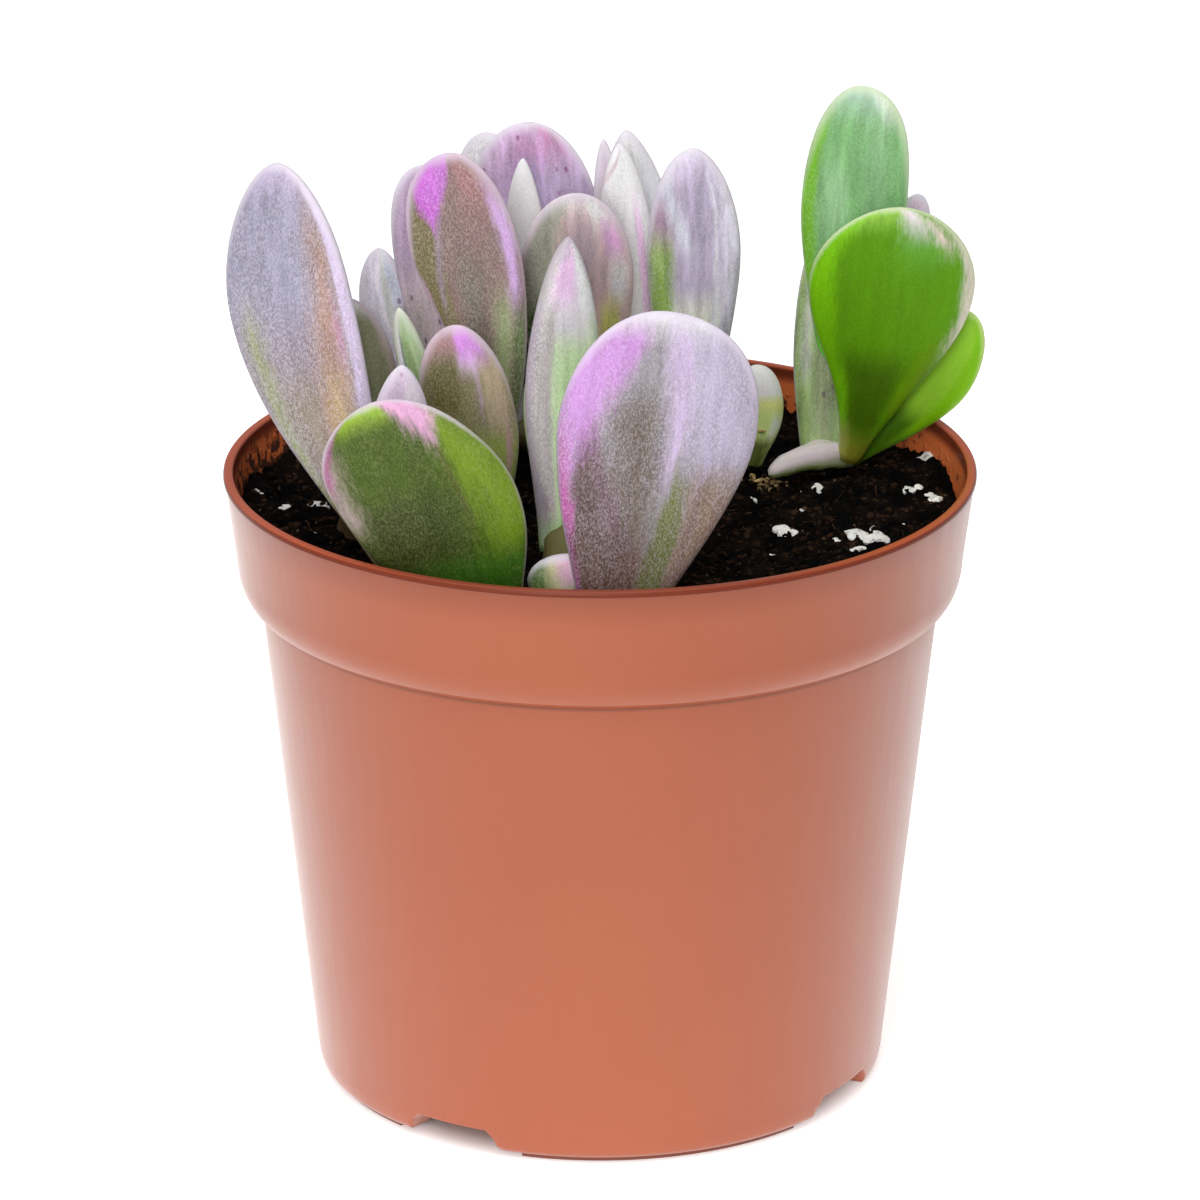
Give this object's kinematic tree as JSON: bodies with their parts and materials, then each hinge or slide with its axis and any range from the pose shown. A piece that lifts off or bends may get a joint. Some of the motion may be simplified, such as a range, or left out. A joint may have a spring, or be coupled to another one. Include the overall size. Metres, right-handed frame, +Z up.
{
  "type": "potted trailing jade plant",
  "caption": "Potted trailing jade: fleshy upright oval leaves on short creeping stems in a round tapered plastic nursery pot filled with peat mix.",
  "frame": {"origin": "on the pot's axis, at the plane of its feet", "axes": "+Z up along the pot's axis, -Y the front as the plant is shown, +X to the front view's right"},
  "size_m": [0.0914, 0.09, 0.1184],
  "materials": {
    "pot": "terracotta-coloured moulded polypropylene, satin",
    "soil": "dark peat potting mix with perlite, rough",
    "leafy_stem_left": "fleshy leaves, silver and lilac over olive green, satin",
    "leafy_stem_middle": "fleshy leaves, olive and magenta under silver scurf, satin",
    "leafy_stem_front": "fleshy leaves, lilac and olive under silver scurf, satin",
    "leafy_stem_back": "fleshy leaves, lilac, cream and green, satin",
    "leafy_stem_right": "fleshy green leaves with pale margins, smooth and satin"
  },
  "bodies": {
    "root": {"pot": "pot", "soil": "soil", "leafy_stem_left": "leafy_stem_left", "leafy_stem_middle": "leafy_stem_middle", "leafy_stem_front": "leafy_stem_front", "leafy_stem_back": "leafy_stem_back", "leafy_stem_right": "leafy_stem_right"}
  },
  "joints": []
}
